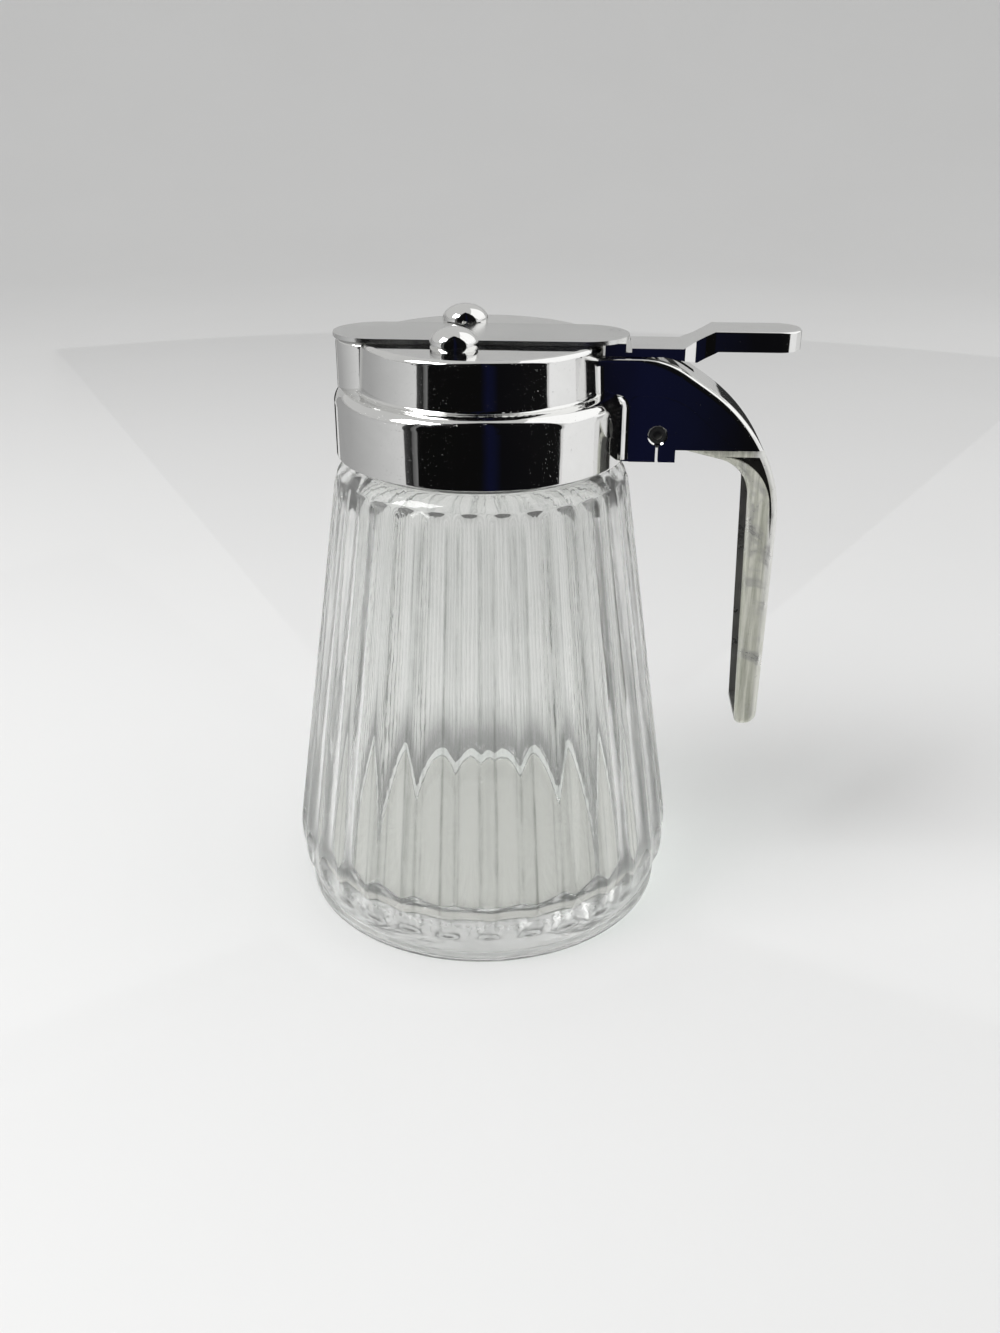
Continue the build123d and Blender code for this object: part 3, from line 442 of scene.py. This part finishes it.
def build_jar():
    outside, inside = jar_rows()
    columns = FLUTES * COLUMNS_PER_FLUTE
    step = 2 * math.pi / columns
    half_pitch = math.pi / FLUTES
    groove_z = FOOT_TOP + GROOVE

    def round_end(distance, length):
        """From 0 at the end of a rib or flute to 1 at a length from it, round like a dome."""
        if distance <= 0:
            return 0.0
        return math.sqrt(max(0.0, 1 - max(0.0, 1 - distance / length) ** 2))

    def flute_fall(angle, crown):
        """Depth under the rib's crown: 0 on the rib, 1 in the middle of a flute."""
        off = abs((angle + half_pitch) % (2 * half_pitch) - half_pitch) / half_pitch
        if off < crown:
            return off * off / crown
        return 1 - (1 - off) ** 2 / (1 - crown)

    def thread_rise(angle, z):
        best = 0.0
        for turn in range(3):
            total = angle + 2 * math.pi * turn
            if total > 2 * math.pi * THREAD_TURNS + 0.001:
                continue
            middle = THREAD_START + THREAD_PITCH * total / (2 * math.pi)
            off = abs(z - middle)
            rise = (THREAD_BASE / 2 - off) / (THREAD_BASE / 2 - THREAD_CREST / 2)
            fade = min(total, 2 * math.pi * THREAD_TURNS - total) / 0.35
            best = max(best, THREAD_DEPTH * min(1, max(0, rise)) * min(1, max(0.0, fade)))
        return best

    def outer_radius(r, z, angle):
        depth = FLUTE_DEPTH * r
        if groove_z < z < HEEL_Z:
            # The ribs end in round tips on the heel, and the flutes run out into it
            tip = round_end(z - RIB_TIP_Z, RIB_TIP)
            sink = depth * math.sqrt((z - groove_z) / (HEEL_Z - groove_z))
            crown = max(0.05, RIB_SHARE * (0.35 + 0.65 * tip))
            return r - sink * (1 - tip * (1 - flute_fall(angle, crown)))
        if HEEL_Z <= z < LEDGE_Z - 0.01:
            top = round_end(FLUTE_TOP_Z - z, FLUTE_TOP)
            return r - depth * top * flute_fall(angle, RIB_SHARE)
        if z > LEDGE_Z:
            return r + thread_rise(angle, z)
        return r

    def inner_radius(r, z, angle):
        if FLOOR_Z < z < LEDGE_Z and r > BORE_R:
            ripple = noise.noise(Vector((
                RIPPLE_TURN * math.cos(angle), RIPPLE_TURN * math.sin(angle), z * RIPPLE_RISE)))
            return r - RIPPLE_DEPTH * abs(ripple) * min(1, (r - BORE_R) / 3)
        return r

    mesh = bpy.data.meshes.new("glass_jar_pressed")
    verts, faces, rings = [], [], []
    for rows, radius in ((outside, outer_radius), (inside, inner_radius)):
        for r, z in rows:
            if r < 1e-6:
                verts.append((0, 0, z * MM))
                rings.append([len(verts) - 1])
                continue
            ring = []
            for column in range(columns):
                angle = column * step
                now = radius(r, z, angle) * MM
                verts.append((now * math.cos(angle), now * math.sin(angle), z * MM))
                ring.append(len(verts) - 1)
            rings.append(ring)
    for lower, upper in zip(rings, rings[1:]):
        for column in range(columns):
            after = (column + 1) % columns
            if len(lower) == 1:
                faces.append((lower[0], upper[after], upper[column]))
            elif len(upper) == 1:
                faces.append((lower[column], lower[after], upper[0]))
            else:
                faces.append((lower[column], lower[after], upper[after], upper[column]))
    mesh.from_pydata(verts, [], faces)
    mesh.update()
    piece = link_mesh("glass_jar_pressed", mesh, GLASS)
    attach(piece, "jar")
    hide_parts("glass_jar")


build_jar()


# ------------------------------------------------------------------ stage
FLOOR_RADIUS = 1.1
WALL_RADIUS = 0.9
FLOOR_DROP = 0.0002      # keeps the floor off the glass that stands on it
CARD_LIFT = 0.0004


def stage_material(name, colour):
    made = Nodes(name)
    place = made.coordinates()
    tone = made.noise(place, 6, detail=3.0)
    low = tuple(channel * 0.985 for channel in colour)
    made.principled(
        Base_Color=made.ramp(tone, [(0.3, low), (0.7, colour)]), Roughness=0.55,
        Specular_IOR_Level=0.3)
    return made.material


def build_stage():
    # A round floor that curves up into a low wall
    profile = straight((0, 0), (FLOOR_RADIUS, 0), 12)
    profile += [
        (FLOOR_RADIUS + WALL_RADIUS * math.sin(a), WALL_RADIUS * (1 - math.cos(a)))
        for a in (math.radians(5 * i) for i in range(1, 17))]
    columns = 96
    verts = [(0, 0, 0)]
    for r, z in profile:
        for column in range(columns):
            angle = 2 * math.pi * column / columns
            verts.append((r * math.cos(angle), r * math.sin(angle), z))
    faces = [(0, 1 + c, 1 + (c + 1) % columns) for c in range(columns)]
    for row in range(len(profile) - 1):
        first, second = 1 + row * columns, 1 + (row + 1) * columns
        for c in range(columns):
            after = (c + 1) % columns
            faces.append((first + c, second + c, second + after, first + after))
    mesh = bpy.data.meshes.new("floor")
    mesh.from_pydata([(x, y, z - FLOOR_DROP) for x, y, z in verts], [], faces)
    floor = link_mesh("floor", mesh, stage_material("pale_floor", (0.8, 0.8, 0.8)))


def card(name, first, last, profile, stops, fade=None):
    """A card swept round the Z axis between two angles from -Y, rising towards +X. Its colour
    follows stops along the angle, and fade makes it clear from one radius to another."""
    steps = max(8, round(abs(last - first) / 3))
    verts, faces = [], []
    for i in range(steps + 1):
        angle = math.radians(first + (last - first) * i / steps)
        verts += [(r * math.sin(angle), -r * math.cos(angle), z) for r, z in profile]
    for i in range(steps):
        for row in range(len(profile) - 1):
            lower = i * len(profile) + row
            upper = lower + len(profile)
            faces.append((lower, upper, upper + 1, lower + 1))
    mesh = bpy.data.meshes.new(name)
    mesh.from_pydata(verts, [], faces)
    made = Nodes(name)
    x, y, _ = made.split("Object")
    angle = made.math("ARCTAN2", x, made.math("MULTIPLY", y, -1.0))
    along = made.remap(angle, math.radians(first), math.radians(last), 0.0, 1.0)
    colour = made.ramp(along, [((place - first) / (last - first), tone) for place, tone in stops])
    glow = made.principled(
        Base_Color=(0, 0, 0, 1), Roughness=0.9, Specular_IOR_Level=0.0, Emission_Color=colour,
        Emission_Strength=1.0)
    if fade is not None:
        reach = made.math("SQRT", made.math(
            "ADD", made.math("MULTIPLY", x, x), made.math("MULTIPLY", y, y)))
        mixed = made.add("ShaderNodeMixShader")
        made.link(made.remap(reach, fade[0], fade[1], 0.0, 1.0), mixed.inputs["Fac"])
        made.link(glow.outputs["BSDF"], mixed.inputs[1])
        made.link(made.add("ShaderNodeBsdfTransparent").outputs["BSDF"], mixed.inputs[2])
        made.link(mixed.outputs["Shader"], made.output.inputs["Surface"])
    piece = link_mesh(name, mesh, made.material)
    piece.visible_camera = False
    piece.visible_diffuse = False
    piece.visible_shadow = False
    return piece


def grey(level):
    return (level, level, level)


def even(tone):
    """Stops of one tone all the way round."""
    return [(0, tone), (360, tone)]


def flag(name, first, last, near, distance, height, stops, roof=()):
    """A card that lies on the floor and turns up at a distance, and that only metal mirrors."""
    profile = [(near, CARD_LIFT), (distance, CARD_LIFT), (distance, height), *roof]
    card(name, first, last, profile, stops).visible_transmission = False


def area_light(name, place, target, size, power):
    data = bpy.data.lights.new(name, "AREA")
    data.shape = "RECTANGLE"
    data.size, data.size_y = size, size
    data.energy = power
    lamp = bpy.data.objects.new(name, data)
    scene.collection.objects.link(lamp)
    lamp.location = place
    lamp.rotation_mode = "QUATERNION"
    lamp.rotation_quaternion = (Vector(target) - Vector(place)).to_track_quat("-Z", "Y")


build_stage()

# Cards that give the chrome its bands, by their angle in degrees from -Y towards +X
NEAR, FAR = 0.062, 0.3
TALL, LOW = 0.42, 0.2
flag("front_flag", -42.5, 64, NEAR, FAR, TALL, [
    (-42.5, grey(0.004)), (4, grey(0.004)), (10, (0.005, 0.006, 0.022)),
    (14, (0.005, 0.006, 0.018)), (19, (0.004, 0.004, 0.005)), (64, grey(0.006))],
    roof=[(0.16, 0.6), (0.0, 0.66)])
flag("pale_strip", -46.5, -42.5, NEAR, FAR, TALL, [(-46.5, grey(0.1)), (-42.5, grey(0.2))])
flag("thin_flag", -53, -46.5, NEAR, FAR, TALL, [(-53, grey(0.06)), (-46.5, grey(0.012))])
flag("left_flag", -140, -53, NEAR, FAR, LOW, [
    (-140, grey(0.34)), (-112, grey(0.4)), (-80, grey(0.54)), (-53, grey(0.68))])
flag("right_flag", 66, 97, NEAR, FAR, LOW, [(66, grey(0.9)), (97, grey(0.86))])
flag("back_flag", 150, 210, 0.12, 0.75, 0.1, [(150, grey(0.03)), (210, grey(0.03))])

# Cards that are seen only through the glass: a dark room far off, a painted shadow on the floor
# round the jar, and painted shade under its base
through_glass = [
    card("horizon", 0, 360, [(0.55, 0.02), (0.55, 0.3)], even(grey(0.05))),
    card("floor_shade", 0, 360, [(0.052, CARD_LIFT), (0.12, CARD_LIFT)], even(grey(0.22)),
         fade=(0.056, 0.098)),
    card("base_shade", 0, 360, [(0.0, -FLOOR_DROP / 2), (0.047, -FLOOR_DROP / 2)],
         even((0.56, 0.56, 0.53))),
]
for piece in through_glass:
    piece.visible_glossy = False

area_light("key", (-0.5, -0.3, 0.75), (0, 0, 0.1), 0.45, 5)
area_light("fill", (0.7, 0.2, 0.7), (0, 0, 0.07), 1.2, 2.5)

world = bpy.data.worlds.new("world")
scene.world = world
world.use_nodes = True
backdrop = world.node_tree.nodes["Background"]
backdrop.inputs["Color"].default_value = (0.96, 0.96, 0.95, 1)
backdrop.inputs["Strength"].default_value = 0.62

# Light has to cross many walls of the jar before it comes out again
scene.cycles.max_bounces = 32
scene.cycles.transmission_bounces = 32
scene.cycles.glossy_bounces = 16

scene.view_settings.view_transform = "Standard"
